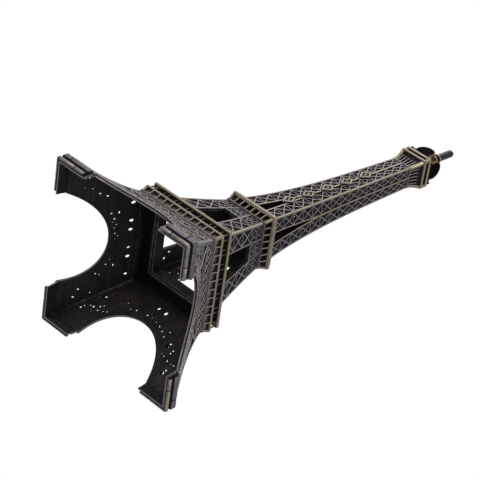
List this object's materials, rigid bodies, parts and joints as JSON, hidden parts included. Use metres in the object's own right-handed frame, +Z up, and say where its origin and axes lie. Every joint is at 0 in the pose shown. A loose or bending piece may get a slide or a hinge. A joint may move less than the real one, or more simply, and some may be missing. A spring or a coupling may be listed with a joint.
{
  "type": "miniature lattice tower",
  "caption": "Free-standing miniature lattice tower in antiqued cast metal: four arched feet, two bracketed galleries, tapering braced shaft, capital and mast.",
  "frame": {"origin": "middle of the base, on the surface the four feet stand on", "axes": "+Z up along the mast; the side with the raised lozenges faces -Y; +X is to its right seen from the front"},
  "size_m": [0.069, 0.069, 0.18],
  "materials": {
    "lattice_casting": "cast, dark antique patina in the hollows, rubbed to dull brass on the bars",
    "dark_casting": "cast, near-black patina, satin",
    "rubbed_edge": "antique brass, brushed bright on the edges",
    "plinth_casting": "cast masonry courses, brushed at the lower course",
    "solder": "rough solder with brown flux stain",
    "mast_metal": "smooth dark patina, satin"
  },
  "bodies": {
    "root": {"cabin_body": "lattice_casting", "cabin_lower_rim": "rubbed_edge", "cabin_upper_rim": "rubbed_edge", "capital": "lattice_casting", "crown_gable_back": "dark_casting", "crown_gable_front": "dark_casting", "crown_gable_left": "dark_casting", "crown_gable_right": "dark_casting", "crown_posts": "dark_casting", "crown_vault": "dark_casting", "first_deck": "dark_casting", "first_gallery": "rubbed_edge", "first_rim": "rubbed_edge", "front_ornaments": "rubbed_edge", "lower_panel_back": "lattice_casting", "lower_panel_front": "lattice_casting", "lower_panel_left": "lattice_casting", "lower_panel_right": "lattice_casting", "mast": "mast_metal", "mast_collar": "mast_metal", "middle_panel_back": "lattice_casting", "middle_panel_front": "lattice_casting", "middle_panel_left": "lattice_casting", "middle_panel_right": "lattice_casting", "plinth_back_left": "plinth_casting", "plinth_back_right": "plinth_casting", "plinth_front_left": "plinth_casting", "plinth_front_right": "plinth_casting", "second_gallery": "rubbed_edge", "second_parapet": "rubbed_edge", "second_rim": "rubbed_edge", "shaft_panel_back": "lattice_casting", "shaft_panel_front": "lattice_casting", "shaft_panel_left": "lattice_casting", "shaft_panel_right": "lattice_casting", "solder_lower": "solder", "solder_middle": "solder"}
  },
  "joints": []
}
